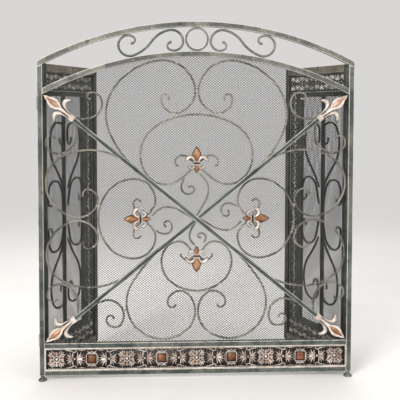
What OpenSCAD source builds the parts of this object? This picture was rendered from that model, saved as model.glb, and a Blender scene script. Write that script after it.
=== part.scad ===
// Three-panel fireplace screen: an arched front panel with two straight-topped
// wings hinged on its posts, all filled with wire mesh and bent scrollwork.
// Millimetres, +Z up, the front panel faces -Y, the origin is on the floor
// below the middle of the whole screen.

/* [Front panel] */
// Width over the two posts
panel_w = 800; // [640:5:1000]
// Height of the outer arch at its crown
crest_h = 912; // [760:2:1100]
// Rise of each arch from the posts to the crown
arch_rise = 100; // [60:1:140]
// Height step between the two arches
arch_gap = 74.5; // [60:0.5:100]
// Side of the square frame tube
tube = 13; // [10:0.5:20]
// Wall of the frame tube
tube_wall = 1.2; // [0.8:0.1:2.5]
// Height of each foot
foot_h = 14; // [8:0.5:25]
// Diameter of a foot where it stands on the floor
foot_d = 21.6; // [14:0.2:30]
// Height of the relief band between the two bottom rails
frieze_h = 57; // [35:1:80]

/* [Bars and scrolls] */
// Width of the crossed diagonal bars
bar_w = 10; // [6:0.5:16]
// Width of a scroll bar
scroll_w = 5; // [3:0.25:7]
// Depth of a scroll bar
scroll_d = 5; // [3:0.25:6]
// Width of the two scrolls between the arches
crest_w = 6; // [4:0.25:8]
// Thickness of the wire mesh
mesh_t = 0.5; // [0.3:0.1:1.5]
// Part of the way from the crossing to the corner which a diagonal bar covers
bar_reach = 0.811; // [0.7:0.005:0.85]
// Length of a fleur on the four short axes
fleur_l = 72; // [55:1:90]
// How far the petals of a fleur dip beside its spear
petal_dip = 10.8; // [7:0.2:13]

/* [Wings] */
// Width of a wing from its hinge stile to its free edge
wing_w = 248; // [180:2:320]
// Angle between a wing and the front panel
wing_angle = 63; // [50:1:85]
// How far the top of a wing stays below the ends of the arch
wing_drop = 4; // [0:1:20]
// Height of the top and bottom rails of a wing
rail_h = 19; // [12:0.5:28]
// Height of the pierced strips along the top and bottom of a wing
strip_h = 50; // [35:1:65]
// Width of the pierced strip along the free edge of a wing
strip_w = 42; // [30:1:55]

/* [Hinges] */
// Diameter of a hinge pin
pin_d = 4; // [3:0.25:6]
// Diameter of a hinge barrel
barrel_d = 9; // [7:0.5:11]
// Length of a whole hinge barrel
barrel_h = 33; // [24:1:45]
// Running clearance between a pin and the turning knuckle, on the radius
pin_clearance = 0.05; // [0.02:0.01:0.1]
// Gap between a turning knuckle and its neighbours
knuckle_gap = 0.4; // [0.3:0.1:1]
// Distance from the floor or the wing top to the middle of a hinge
hinge_inset = 100; // [70:1:160]

/* [Hidden] */
$fn = 96;
// Play which the crest ring has in all between the two arches.
gap = 0.6;
// A bent bar's arcs run this far into each other, every second one this much slimmer.
lap = 0.8;
lap_step = 0.2;
// Sheet of the relief band and the wing strips, and how far it sits behind the frame's face.
strip_t = 1.5;
strip_setback = 3;
// Size of the field on which the scrolls are laid out.
drawn_w = 774;
drawn_h = 634;
half_w = panel_w / 2;
half_in = half_w - tube;
rail_z = foot_h + tube + frieze_h;
field_z = rail_z + tube;
arch_r = (half_w * half_w + arch_rise * arch_rise) / (2 * arch_rise);
outer_z = crest_h - arch_r;
inner_z = outer_z - arch_gap;
spring_z = inner_z + sqrt(pow(arch_r - tube, 2) - half_in * half_in);
cross_z = (field_z + spring_z) / 2;
half_h = (spring_z - field_z) / 2;
stretch_x = 2 * half_in / drawn_w;
stretch_z = 2 * half_h / drawn_h;
post_top = outer_z + sqrt(pow(arch_r, 2) - half_w * half_w);
front_y = -tube / 2;
back_y = tube / 2;
mesh_y = back_y - mesh_t;
scroll_y = mesh_y - scroll_d;
bar_depth = scroll_y - front_y;
bar_angle = atan2(half_h, half_in);
bar_length = bar_reach * norm([half_in, half_h]);
collar_w = bar_w + 5;
collar_l = 12;
collar_proud = 1.5;
stem_start = collar_l / 2;
corner_fleur_l = (1 - bar_reach) * norm([half_in, half_h]) - stem_start - 2.5;
ring_r = (arch_gap - tube) / 2 - gap / 2;
motif_pitch = (2 * half_in) / 8.67;
// Drawn heights of the big top scrolls, where they are widest and where they crown, and
// the height above the crossing at which they crown below the inner arch.
top_start = 114;
top_reach = 399;
crown_x = 94 * stretch_x;
crown_gap = 4.5;
top_end = inner_z + sqrt(pow(arch_r - tube, 2) - crown_x * crown_x) - cross_z
  - scroll_w / 2 - crown_gap;
// The lowest of the four volutes and ties is smaller, like the oval beside it.
quarter_sizes = [1, 1, 0.6, 1];

pin_back = barrel_d / 2 + 1;
pin_y = back_y + pin_back;
stile_u = barrel_d / 2 + 3.5;
wing_out_y = 2.5;
wing_in_y = wing_out_y - tube;
wing_base = foot_h;
wing_top = post_top - wing_drop;
wing_end = stile_u + wing_w;
inner_bar_u = wing_end - 2 * tube - strip_w;
wing_field_u0 = stile_u + tube;
wing_field_u1 = inner_bar_u;
wing_field_z0 = wing_base + rail_h + strip_h + tube;
wing_field_z1 = wing_top - rail_h - strip_h - tube;
wing_mid_u = (wing_field_u0 + wing_field_u1) / 2;
wing_mid_z = (wing_field_z0 + wing_field_z1) / 2;
wing_drawn = [82.5, 314];
wing_sx = (wing_field_u1 - wing_field_u0) / 2 / wing_drawn.x;
wing_sz = (wing_field_z1 - wing_field_z0) / 2 / wing_drawn.y;
// The front panel stands as far forward of the origin as the wings reach back.
wing_foot_y = pin_y + sin(wing_angle) * (wing_end - tube / 2)
  + cos(wing_angle) * (wing_in_y + tube / 2) + foot_d / 2;
wing_edge_y = pin_y + sin(wing_angle) * wing_end + cos(wing_angle) * wing_out_y;
panel_y = (max(foot_d / 2, tube / 2 + collar_proud) - max(wing_foot_y, wing_edge_y)) / 2;
knuckle_h = (barrel_h - 2 * knuckle_gap) / 3;
hinge_zs = [wing_base + hinge_inset - foot_h, wing_top - hinge_inset];

// Which piece to show

// ---- bent bars -------------------------------------------------------------
// A bar is a list of stops [x, z, heading]. Two arcs carry it from each stop to
// the next, so it stays smooth however the field is stretched.

function unit(a) = [cos(a), sin(a)];
function wrap(a) = a - 360 * round(a / 360);
function on_field(s) = [
  s.x * stretch_x,
  s.y * stretch_z,
  atan2(stretch_z * sin(s.z), stretch_x * cos(s.z))
];
// A whole symmetrical bar from the half which starts on the centre line.
function there_and_back(half) = concat(
  [for (i = [len(half) - 1 : -1 : 1]) [-half[i].x, half[i].y, -half[i].z]],
  half
);
function quarter(s, turns) = [
  cos(90 * turns) * s.x - sin(90 * turns) * s.y,
  sin(90 * turns) * s.x + cos(90 * turns) * s.y,
  s.z + 90 * turns
];
function joint(p, q) =
  let (v = [q.x - p.x, q.y - p.y], t0 = unit(p.z), t1 = unit(q.z), t = t0 + t1)
  let (k = 2 * (1 - t0 * t1))
  let (d = k < 0.001 ? v * v / (2 * v * t) : (sqrt(pow(v * t, 2) + k * (v * v)) - v * t) / k)
  [(p.x + q.x + d * (t0.x - t1.x)) / 2, (p.y + q.y + d * (t0.y - t1.y)) / 2];

// One arc from p, leaving on the heading, to q, and a little further at both ends.
module arc_piece(p, heading, q, w, d, further) {
  chord = atan2(q.y - p.y, q.x - p.x);
  reach = norm([q.x - p.x, q.y - p.y]);
  turn = 2 * wrap(chord - heading);
  if (abs(turn) < 1) {
    translate([p.x, p.y, 0]) rotate([0, 0, chord])
      translate([-further, -w / 2, 0]) cube([reach + 2 * further, w, d]);
  } else {
    r = reach / (2 * sin(abs(turn) / 2));
    more = further / r * 180 / PI;
    side = sign(turn);
    translate([p.x - r * side * sin(heading), p.y + r * side * cos(heading), 0])
      rotate([0, 0, (turn > 0 ? heading - 90 : heading + 90 + turn) - more])
        rotate_extrude(angle = abs(turn) + 2 * more) translate([r - w / 2, 0]) square([w, d]);
  }
}

// Every second arc is a hair slimmer and runs on inside its neighbours.
module bent_bar(stops, w, d) {
  for (i = [0 : len(stops) - 2]) {
    p = stops[i];
    q = stops[i + 1];
    m = joint(p, q);
    arc_piece(p, p.z, m, w, d, 0);
    translate([0, 0, lap_step])
      arc_piece(q, q.z + 180, m, w - 2 * lap_step, d - 2 * lap_step, lap);
  }
}

// Stands a flat layout up so that its depth runs towards the front.
module upright(y) {
  translate([0, y, 0]) rotate([90, 0, 0]) children();
}

module panel() {
  translate([0, panel_y, 0]) children();
}

module both_sides() {
  children();
  mirror([1, 0, 0]) children();
}

// A scroll of the front field, given about the crossing.
module field_scroll(stops) {
  upright(mesh_y) translate([0, cross_z, 0])
    bent_bar([for (s = stops) on_field(s)], scroll_w, scroll_d);
}

// ---- tubes and frame -------------------------------------------------------

module square_tube(l, w, d) {
  difference() {
    cube([w, d, l]);
    translate([tube_wall, tube_wall, 0]) cube([w - 2 * tube_wall, d - 2 * tube_wall, l]);
  }
}

module lying_tube(l, h, d) {
  difference() {
    cube([l, d, h]);
    translate([0, tube_wall, tube_wall]) cube([l, d - 2 * tube_wall, h - 2 * tube_wall]);
  }
}

module arch_disc(z, r, depth) {
  translate([0, depth / 2, z]) rotate([90, 0, 0]) cylinder(r = r, h = depth);
}

module arch_tube(z, reach) {
  intersection() {
    difference() {
      arch_disc(z, arch_r, tube);
      arch_disc(z, arch_r - tube, tube + 2);
      difference() {
        arch_disc(z, arch_r - tube_wall, tube - 2 * tube_wall);
        arch_disc(z, arch_r - tube + tube_wall, tube);
      }
    }
    translate([-reach, -tube, spring_z - tube]) cube([2 * reach, 2 * tube, crest_h]);
  }
}

module post() {
  intersection() {
    translate([-half_w, front_y, foot_h]) square_tube(post_top - foot_h, tube, tube);
    arch_disc(outer_z, arch_r - tube, 2 * tube);
  }
}

module left_post() {
  color("slategray") panel() post();
}

module right_post() {
  color("slategray") panel() mirror([1, 0, 0]) post();
}

module outer_arch() {
  color("gray") panel() arch_tube(outer_z, half_w);
}

module inner_arch() {
  color("gray") panel() arch_tube(inner_z, half_in);
}

module upper_base_rail() {
  color("slategray") panel() translate([-half_in, front_y, rail_z]) lying_tube(2 * half_in, tube, tube);
}

module lower_base_rail() {
  color("slategray") panel() translate([-half_in, front_y, foot_h]) lying_tube(2 * half_in, tube, tube);
}

module foot() {
  neck_r = 4.6;
  rim_h = 2.5;
  shoulder_r = tube / 2 - 0.3;
  rotate_extrude() polygon([
    [0, 0], [foot_d / 2, 0], [foot_d / 2, rim_h], [neck_r, foot_h * 0.55],
    [shoulder_r, foot_h - 1.5], [shoulder_r, foot_h], [0, foot_h]
  ]);
}

module front_feet() {
  color("slategray") panel() both_sides() translate([-half_w + tube / 2, 0, 0]) foot();
}

// ---- relief band -----------------------------------------------------------

module rosette(y) {
  outer_r = 15;
  ring_w = 3;
  relief = 2;
  upright(y) {
    difference() {
      cylinder(r = outer_r, h = relief);
      cylinder(r = outer_r - ring_w, h = relief);
    }
    cylinder(r = 4, h = relief + 0.8);
    for (a = [0 : 45 : 315]) rotate([0, 0, a])
      translate([5, -1.6, 0]) cube([outer_r - ring_w - 4.5, 3.2, relief * 0.7]);
  }
}

// A square pyramid with a rim around it.
module gem(y) {
  side = 24;
  peak = 3;
  rim = 2.5;
  upright(y) {
    intersection() {
      translate([-side / 2, 0, 0]) rotate([90, 0, 90])
        linear_extrude(side) polygon([[-side / 2, 0], [side / 2, 0], [0, peak]]);
      translate([0, side / 2, 0]) rotate([90, 0, 0])
        linear_extrude(side) polygon([[-side / 2, 0], [side / 2, 0], [0, peak]]);
    }
    difference() {
      translate([-side / 2 - rim, -side / 2 - rim, 0]) cube([side + 2 * rim, side + 2 * rim, 1.6]);
      translate([-side / 2 - 0.6, -side / 2 - 0.6, 0]) cube([side + 1.2, side + 1.2, 1.6]);
    }
  }
}

module leaf_spray(y) {
  leaf_l = frieze_h * 0.34;
  leaf_w = 5.5;
  upright(y) for (a = [45 : 90 : 315]) rotate([0, 0, a])
    translate([3, 0, 0]) linear_extrude(1.4)
      polygon([[0, 0], [leaf_l * 0.4, leaf_w / 2], [leaf_l, 0], [leaf_l * 0.4, -leaf_w / 2]]);
}

module frieze_panel() {
  face_y = front_y + strip_setback;
  margin = 1;
  color("dimgray") panel() {
    translate([-half_in + margin, face_y, rail_z - frieze_h + margin])
      cube([2 * (half_in - margin), strip_t, frieze_h - 2 * margin]);
    translate([0, 0, rail_z - frieze_h / 2]) {
      for (i = [-4 : 2 : 4]) translate([i * motif_pitch, 0, 0]) rosette(face_y);
      for (i = [-3 : 2 : 3]) translate([i * motif_pitch, 0, 0]) gem(face_y);
      for (i = [-3.5 : 1 : 3.5]) translate([i * motif_pitch, 0, 0]) leaf_spray(face_y);
    }
  }
}

// The bright beaded trim which holds the relief band in its opening.
module frieze_border() {
  trim = 3;
  behind = front_y + strip_setback;
  color("silver") panel() difference() {
    translate([-half_in, behind - 2, rail_z - frieze_h]) cube([2 * half_in, 2, frieze_h]);
    translate([-half_in + trim, behind - 3, rail_z - frieze_h + trim])
      cube([2 * (half_in - trim), 4, frieze_h - 2 * trim]);
  }
}

// ---- diagonal bars ---------------------------------------------------------

// A hollow bar along +X, centred on the axis; the angle is seen from the front.
module hollow_bar(angle, start, l) {
  translate([0, 0, cross_z]) rotate([0, -angle, 0]) difference() {
    translate([start, front_y, -bar_w / 2]) cube([l, bar_depth, bar_w]);
    translate([start, front_y + tube_wall, -bar_w / 2 + tube_wall])
      cube([l, bar_depth - 2 * tube_wall, bar_w - 2 * tube_wall]);
  }
}

module long_bar_envelope() {
  translate([0, 0, cross_z]) rotate([0, bar_angle, 0])
    translate([-bar_length, front_y - 1, -bar_w / 2])
      cube([2 * bar_length, bar_depth + 2, bar_w]);
}

module long_diagonal_bar() {
  color("darkslategray") panel() hollow_bar(-bar_angle, -bar_length, 2 * bar_length);
}

module upper_diagonal_bar() {
  color("darkslategray") panel() difference() {
    hollow_bar(bar_angle, 0, bar_length);
    long_bar_envelope();
  }
}

module lower_diagonal_bar() {
  color("darkslategray") panel() difference() {
    hollow_bar(180 + bar_angle, 0, bar_length);
    long_bar_envelope();
  }
}

module at_corner(side, level) {
  mirror([side < 0 ? 1 : 0, 0, 0]) translate([0, 0, cross_z]) mirror([0, 0, level < 0 ? 1 : 0])
    rotate([0, -bar_angle, 0]) translate([bar_length, 0, 0]) children();
}

module collar() {
  difference() {
    translate([-collar_l / 2, front_y - collar_proud, -collar_w / 2])
      cube([collar_l, bar_depth + collar_proud, collar_w]);
    translate([-collar_l / 2, front_y, -bar_w / 2]) cube([collar_l / 2, bar_depth, bar_w]);
  }
}

module bar_collars() {
  color("burlywood") panel() for (side = [-1, 1], level = [-1, 1]) at_corner(side, level) collar();
}

// ---- fleurs ----------------------------------------------------------------

// The cross-section of a cast leaf: a ridge along the middle, thin at the edges.
module ridge(l, w, thick) {
  edge = thick * 0.35;
  rotate([90, 0, 90]) linear_extrude(l)
    polygon([[-w / 2, 0], [w / 2, 0], [w / 2, edge], [0, thick], [-w / 2, edge]]);
}

// A pointed leaf with curved sides, from the origin along +X.
module blade(l, w, thick) {
  r = (l * l + w * w) / (4 * w);
  intersection() {
    linear_extrude(thick) intersection() {
      translate([l / 2, r - w / 2]) circle(r);
      translate([l / 2, w / 2 - r]) circle(r);
    }
    ridge(l, w, thick);
  }
}

// A spade with straight sides which widens from a neck to its belly, then comes to a point.
module spade(l, w, neck, thick) {
  belly = 0.4 * l;
  intersection() {
    linear_extrude(thick)
      polygon([[0, -neck / 2], [belly, -w / 2], [l, 0], [belly, w / 2], [0, neck / 2]]);
    ridge(l, w, thick);
  }
}

// A petal which leaves the waist, dips away from it and comes back to a flared tip.
module u_petal(dip, spread, w, thick) {
  bent_bar([
    [0, 0, 35], [dip, spread * 0.45, 90], [dip * 0.15, spread * 0.92, 160],
    [-dip * 0.25, spread * 1.1, 125]
  ], w, thick);
}

// Bud, double-banded waist and spear in a row, with two pairs of petals.
module centre_fleur(thick) {
  bud_l = fleur_l * 0.29;
  waist_l = fleur_l * 0.16;
  waist_w = 18;
  bud_w = 14;
  spear_w = 24;
  petal_w = 4.6;
  bud_petal_w = 3.8;
  root = waist_w / 2 - 4;
  translate([-waist_l / 2, 0, 0]) {
    translate([1, 0, 0]) mirror([1, 0, 0]) blade(bud_l + 1, bud_w, thick);
    translate([0, -waist_w / 2, 0]) cube([waist_l * 0.4, waist_w, thick]);
    translate([waist_l * 0.4, -waist_w / 2 + 1, 0]) cube([waist_l * 0.2, waist_w - 2, thick * 0.8]);
    translate([waist_l * 0.6, -waist_w / 2, 0]) cube([waist_l * 0.4, waist_w, thick]);
    translate([waist_l - 1, 0, 0]) blade(fleur_l - bud_l - waist_l + 1, spear_w, thick);
    for (m = [0, 1]) mirror([0, m, 0]) {
      translate([waist_l - 0.5, root, 0]) u_petal(petal_dip, petal_dip * 2.4, petal_w, thick * 0.85);
      translate([0.5, root, 0]) mirror([1, 0, 0])
        u_petal(petal_dip * 0.8, petal_dip * 1.35, bud_petal_w, thick * 0.85);
    }
  }
}

module axis_fleur(angle, reach_x, reach_z) {
  upright(scroll_y) translate([reach_x * stretch_x, cross_z + reach_z * stretch_z, 0])
    rotate([0, 0, angle]) centre_fleur(bar_depth);
}

module top_fleur() {
  color("tan") panel() axis_fleur(90, 0, 142);
}

module bottom_fleur() {
  color("tan") panel() axis_fleur(-90, 0, -96);
}

module side_fleurs() {
  color("tan") panel() both_sides() axis_fleur(180, -143, 0);
}

// The cast finial between a collar and its corner: stem, spade and two horns.
module corner_fleur(level) {
  l = corner_fleur_l;
  stem_w = 8;
  stem_l = l * 0.38;
  spade_w = 27;
  horn_w = 5;
  horn_x = 30;
  at_corner(-1, level) translate([stem_start, scroll_y, 0]) rotate([90, 0, 0]) {
    translate([0, -stem_w / 2, 0]) cube([stem_l + 1, stem_w, bar_depth * 0.8]);
    translate([stem_l, 0, 0]) spade(l - stem_l, spade_w, stem_w, bar_depth);
    for (m = [0, 1]) mirror([0, m, 0])
      bent_bar([[0.5, 5, 8], [horn_x, 14, 55], [horn_x + 1, 25, 110], [horn_x - 9, 34, 150]],
        horn_w, bar_depth * 0.85);
  }
}

module upper_corner_fleurs() {
  color("wheat") panel() both_sides() corner_fleur(1);
}

module lower_corner_fleurs() {
  color("peru") panel() both_sides() corner_fleur(-1);
}

// ---- crest -----------------------------------------------------------------

function crest_floor(x) = inner_z + sqrt(arch_r * arch_r - x * x);
function crest_ceiling(x) = outer_z + sqrt(pow(arch_r - tube, 2) - x * x);
function between(x, f) = crest_floor(x) * (1 - f) + crest_ceiling(x) * f;
function in_crest(s) = [
  s.x * stretch_x,
  between(s.x * stretch_x, s.y),
  atan2((arch_gap - tube) / 61.5 * sin(s.z), stretch_x * cos(s.z))
];

module crest_ring() {
  color("gray") panel() translate([0, tube / 4, between(0, 0.5)]) rotate([90, 0, 0]) difference() {
    cylinder(r = ring_r, h = tube / 2);
    cylinder(r = ring_r - crest_w, h = tube / 2);
  }
}

// Stops are [x, height as a part of the space between the arches, heading].
module crest_scrolls() {
  stops = [
    [-167, 0.6, -21], [-196, 0.495, -71.5], [-114, 0.52, 54.5], [-36, 0.55, -71], [-63, 0.41, -10]
  ];
  color("gray") panel() both_sides() upright(tube / 4) {
    bent_bar([for (s = stops) in_crest(s)], crest_w, tube / 2);
  }
}

// ---- scrolls of the front field --------------------------------------------

// The tops of the two big scrolls follow the inner arch.
function below_arch(s) = [
  s.x * stretch_x,
  top_start * stretch_z
    + (s.y - top_start) * (top_end - top_start * stretch_z) / (top_reach - top_start),
  atan2(stretch_z * sin(s.z), stretch_x * cos(s.z))
];

module top_scrolls() {
  stops = [[-73, 303, 35], [-90, 306, 268], [-6.5, 343, 107], [-208, 334, 235], [-140, 114, -39]];
  color("dimgray") panel() both_sides() upright(mesh_y) translate([0, cross_z, 0])
    bent_bar([for (s = stops) below_arch(s)], scroll_w, scroll_d);
}

module top_oval() {
  color("dimgray") panel() field_scroll(there_and_back([
    [0, 266, 180], [-143, 163, 270], [-79, 88, 0], [-25, 116, 42], [19, 155, 40],
    [54, 150, -75], [45, 137, -215]
  ]));
}

// The same bar seen from the side: the half is drawn as if its centre line stood upright.
module side_ovals() {
  half = [
    [0, 250, 180], [-102, 160, 270], [-46, 105, 0], [-14, 122, 42], [26, 157, 38],
    [50, 152, -85], [42, 142, -175]
  ];
  color("dimgray") panel() both_sides()
    field_scroll([for (s = there_and_back(half)) quarter(s, 1)]);
}

module bottom_oval() {
  color("dimgray") panel() field_scroll(there_and_back([
    [0, -187, 180], [-90, -110, 90], [-44, -59, 0], [-18, -76, -48], [12, -103, -40],
    [36, -102, 50], [41, -90, 85]
  ]));
}

// One small volute in each quarter.
module centre_curls() {
  stops = [[-31, 103, -128], [-39, 81, -90], [-22, 63, 0], [-6, 75, 90], [-14, 83, 180], [-21, 77, 262]];
  color("dimgray") panel() for (i = [0 : 3])
    field_scroll([for (s = stops) quarter([s.x * quarter_sizes[i], s.y * quarter_sizes[i], s.z], i)]);
}

// The ties which run from the crossing to the foot of each axis fleur.
module centre_ties() {
  stops = [[8, 113, -35], [30, 76, -90], [1, 9, -120]];
  color("dimgray") panel() for (i = [0 : 3])
    field_scroll([for (s = stops) quarter([s.x * quarter_sizes[i], s.y * quarter_sizes[i], s.z], i)]);
}

module bottom_scrolls() {
  color("dimgray") panel() both_sides() field_scroll([
    [-54, -221, -82], [-74, -212, 77], [-30, -293, -143], [-175, -246, 107], [-107, -92, 46]
  ]);
}

module base_curls() {
  color("dimgray") panel() both_sides() field_scroll([
    [-261, -217, 6], [-218, -210, -13], [-230, -266, 112], [-214, -259, -123]
  ]);
}

module side_loops() {
  color("dimgray") panel() both_sides() for (m = [0, 1])
    translate([0, 0, cross_z]) mirror([0, 0, m]) translate([0, 0, -cross_z])
      field_scroll([[-200, 158, 152], [-376, 61, -68], [-254, 34, 64], [-288, 57, -67]]);
}

module shoulder_curls() {
  color("dimgray") panel() both_sides() field_scroll([
    [-306, 257, -12], [-247, 271, 51], [-275, 318, 213], [-265, 308, 50]
  ]);
}

module post_curls() {
  color("dimgray") panel() both_sides() for (m = [0, 1])
    translate([0, 0, cross_z]) mirror([0, 0, m]) translate([0, 0, -cross_z])
      field_scroll([[-312, 249, 31], [-302, 225, -87], [-379, 185, 118], [-355, 203, -74]]);
}

// Dabs of weld across neighbouring scrolls, on their front faces.
module weld_beads() {
  bead_d = 7;
  bead_h = 1.8;
  spots = [[-249, 34], [-184, -236], [-58, 267]];
  color("silver") panel() {
    both_sides() for (s = spots) upright(scroll_y)
      translate([s.x * stretch_x, cross_z + s.y * stretch_z, 0]) cylinder(d = bead_d, h = bead_h);
    for (z = [-250, 325]) upright(scroll_y)
      translate([0, cross_z + z * stretch_z, 0]) cylinder(d = bead_d, h = bead_h);
  }
}

module front_mesh() {
  color("black", 0.4) panel() intersection() {
    translate([-half_in, mesh_y, field_z]) cube([2 * half_in, mesh_t, crest_h]);
    arch_disc(inner_z, arch_r - tube, 2 * tube);
  }
}

// ---- hinges ----------------------------------------------------------------

module at_hinges() {
  for (z = hinge_zs) translate([-half_w, pin_y, z - barrel_h / 2]) children();
}

module front_knuckles() {
  color("dimgray") panel() both_sides() at_hinges() for (lift = [0, barrel_h - knuckle_h])
    translate([0, 0, lift]) difference() {
      union() {
        cylinder(d = barrel_d, h = knuckle_h);
        translate([0, -pin_back, 0]) cube([barrel_d * 0.7, pin_back, knuckle_h]);
      }
      cylinder(d = pin_d, h = knuckle_h);
    }
}

module hinge_pins() {
  head_d = pin_d + 2.4;
  head_h = 1.5;
  color("silver") panel() both_sides() at_hinges() {
    cylinder(d = pin_d, h = barrel_h);
    translate([0, 0, barrel_h]) cylinder(d = head_d, h = head_h);
    translate([0, 0, -head_h]) cylinder(d = head_d, h = head_h);
  }
}

// ---- wings -----------------------------------------------------------------
// A wing is laid out flat from its pin along +X with its outer face at +Y,
// then turned about the pin of the left post and mirrored for the right.

module set_wing(side) {
  mirror([side > 0 ? 1 : 0, 0, 0])
    translate([-half_w, panel_y + pin_y, 0]) rotate([0, 0, wing_angle]) children();
}

module near_stile() {
  translate([stile_u, wing_in_y, wing_base]) square_tube(wing_top - wing_base, tube, tube);
}

module far_stile() {
  translate([wing_end - tube, wing_in_y, wing_base]) square_tube(wing_top - wing_base, tube, tube);
}

module wing_rail(z) {
  translate([stile_u + tube, wing_in_y, z]) lying_tube(wing_w - 2 * tube, rail_h, tube);
}

// Diamond piercings in two rows with a pointed slot between them.
module pierced_strip(l, h) {
  repeat = 21;
  count = floor((l - 8) / repeat);
  pitch = l / count;
  hole = h * 0.15;
  difference() {
    cube([l, strip_t, h]);
    for (i = [0 : count - 1]) translate([(i + 0.5) * pitch, strip_t, h / 2]) rotate([90, 0, 0]) {
      for (row = [-1, 1]) translate([0, row * h * 0.3, 0]) cylinder(r = hole, h = strip_t, $fn = 4);
      rotate([0, 0, i % 2 == 0 ? 45 : -45])
        translate([-h * 0.13, -h * 0.035, 0]) cube([h * 0.26, h * 0.07, strip_t]);
    }
  }
}

module pierced_strips() {
  y = wing_out_y - strip_setback - strip_t;
  span = wing_w - 2 * tube;
  side_l = wing_field_z1 - wing_field_z0 + 2 * tube;
  translate([wing_field_u0, y, wing_top - rail_h - strip_h]) pierced_strip(span, strip_h);
  translate([wing_field_u0, y, wing_base + rail_h]) pierced_strip(span, strip_h);
  // The strip along the free edge stands on end.
  translate([inner_bar_u + tube, y, wing_field_z0 - tube]) rotate([0, -90, 0])
    mirror([0, 0, 1]) pierced_strip(side_l, strip_w);
}

// The bar around three sides of the mesh field.
module inner_frame() {
  l = inner_bar_u + tube - wing_field_u0;
  h = wing_field_z1 - wing_field_z0;
  translate([wing_field_u0, wing_in_y, wing_field_z0]) difference() {
    translate([0, 0, -tube]) cube([l, tube, h + 2 * tube]);
    translate([0, -1, 0]) cube([l - tube, tube + 2, h]);
    difference() {
      translate([0, tube_wall, tube_wall - tube])
        cube([l - tube_wall, tube - 2 * tube_wall, h + 2 * tube - 2 * tube_wall]);
      translate([-1, 0, -tube_wall]) cube([l - tube + tube_wall + 1, tube, h + 2 * tube_wall]);
    }
  }
}

module wing_mesh() {
  translate([wing_field_u0, wing_in_y, wing_field_z0])
    cube([wing_field_u1 - wing_field_u0, mesh_t, wing_field_z1 - wing_field_z0]);
}

module centre_bar() {
  h = wing_field_z1 - wing_field_z0;
  translate([wing_mid_u - bar_w / 2, wing_out_y - bar_depth, wing_field_z0])
    square_tube(h, bar_w, bar_depth);
}

function on_wing(s) = [
  s.x * wing_sx,
  s.y * wing_sz,
  atan2(wing_sz * sin(s.z), wing_sx * cos(s.z))
];

// Four mirrored copies of a scroll about the middle of a wing's mesh field.
module wing_scrolls(stops) {
  translate([wing_mid_u, wing_out_y - bar_depth, wing_mid_z])
    for (mx = [0, 1], mz = [0, 1]) mirror([mx, 0, 0]) mirror([0, 0, mz])
      translate([0, scroll_d, 0]) rotate([90, 0, 0])
        bent_bar([for (s = stops) on_wing(s)], scroll_w, scroll_d);
}

module teardrops() {
  translate([0, -scroll_d, 0]) wing_scrolls([
    [-27, 206, -80], [-18, 187, 0], [-8.5, 200, 90], [-8.5, 222, 90], [-33, 245, 180],
    [-67, 190, -90], [-8.5, 68, -66]
  ]);
}

module hooked_loops() {
  translate([0, -scroll_d, 0]) wing_scrolls([
    [-60, 46, -85], [-67, 29, 180], [-75, 60, 90], [-51, 93, 0], [-8.5, 22, -80]
  ]);
}

module wing_foot() {
  translate([wing_end - tube / 2, wing_in_y + tube / 2, 0]) foot();
}

module wing_knuckles() {
  leaf = 4;
  for (z = hinge_zs) translate([0, 0, z - knuckle_h / 2]) difference() {
    union() {
      cylinder(d = barrel_d, h = knuckle_h);
      translate([0, -leaf, 0]) cube([stile_u, leaf, knuckle_h]);
    }
    cylinder(r = pin_d / 2 + pin_clearance, h = knuckle_h);
  }
}

module left_near_stile() {
  color("slategray") set_wing(-1) near_stile();
}

module left_far_stile() {
  color("slategray") set_wing(-1) far_stile();
}

module left_top_rail() {
  color("rosybrown") set_wing(-1) wing_rail(wing_top - rail_h);
}

module left_bottom_rail() {
  color("rosybrown") set_wing(-1) wing_rail(wing_base);
}

module left_pierced_strips() {
  color("dimgray") set_wing(-1) pierced_strips();
}

module left_inner_frame() {
  color("slategray") set_wing(-1) inner_frame();
}

module left_mesh() {
  color("black", 0.4) set_wing(-1) wing_mesh();
}

module left_centre_bar() {
  color("darkslategray") set_wing(-1) centre_bar();
}

module left_teardrops() {
  color("dimgray") set_wing(-1) teardrops();
}

module left_hooked_loops() {
  color("dimgray") set_wing(-1) hooked_loops();
}

module left_foot() {
  color("slategray") set_wing(-1) wing_foot();
}

module left_knuckles() {
  color("dimgray") set_wing(-1) wing_knuckles();
}

module right_near_stile() {
  color("slategray") set_wing(1) near_stile();
}

module right_far_stile() {
  color("slategray") set_wing(1) far_stile();
}

module right_top_rail() {
  color("rosybrown") set_wing(1) wing_rail(wing_top - rail_h);
}

module right_bottom_rail() {
  color("rosybrown") set_wing(1) wing_rail(wing_base);
}

module right_pierced_strips() {
  color("dimgray") set_wing(1) pierced_strips();
}

module right_inner_frame() {
  color("slategray") set_wing(1) inner_frame();
}

module right_mesh() {
  color("black", 0.4) set_wing(1) wing_mesh();
}

module right_centre_bar() {
  color("darkslategray") set_wing(1) centre_bar();
}

module right_teardrops() {
  color("dimgray") set_wing(1) teardrops();
}

module right_hooked_loops() {
  color("dimgray") set_wing(1) hooked_loops();
}

module right_foot() {
  color("slategray") set_wing(1) wing_foot();
}

module right_knuckles() {
  color("dimgray") set_wing(1) wing_knuckles();
}

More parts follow.
